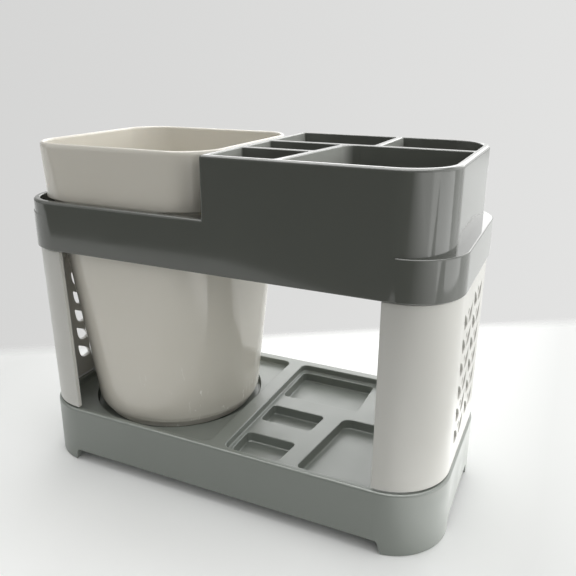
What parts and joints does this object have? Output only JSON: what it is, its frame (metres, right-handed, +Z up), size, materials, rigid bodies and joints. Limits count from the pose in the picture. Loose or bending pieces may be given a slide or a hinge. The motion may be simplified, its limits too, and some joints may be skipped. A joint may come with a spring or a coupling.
{
  "type": "toothbrush holder",
  "caption": "Bathroom organizer: a brush rack and a rinse cup held over a footed drip tray by two pierced, wrap-round end panels.",
  "frame": {"origin": "centre of the bounding rectangle, on the surface that the feet stand on", "axes": "+X from the cup towards the brush box, along the length; +Y from the front to the back; +Z up"},
  "size_m": [0.17, 0.084, 0.1325],
  "materials": {
    "grey_plastic": "moulded satin gloss",
    "warm_white_plastic": "moulded satin gloss",
    "beige_plastic": "moulded gloss"
  },
  "bodies": {
    "stand": {"base_tray": "grey_plastic", "left_end_panel": "warm_white_plastic", "right_end_panel": "warm_white_plastic", "upper_rack": "grey_plastic"},
    "cup": {"rinse_cup": "beige_plastic"}
  },
  "joints": [
    {"name": "cup_lift", "type": "slide", "parent": "stand", "child": "cup", "axis": [0, 0, 1], "range_m": [0, 0.12]}
  ]
}
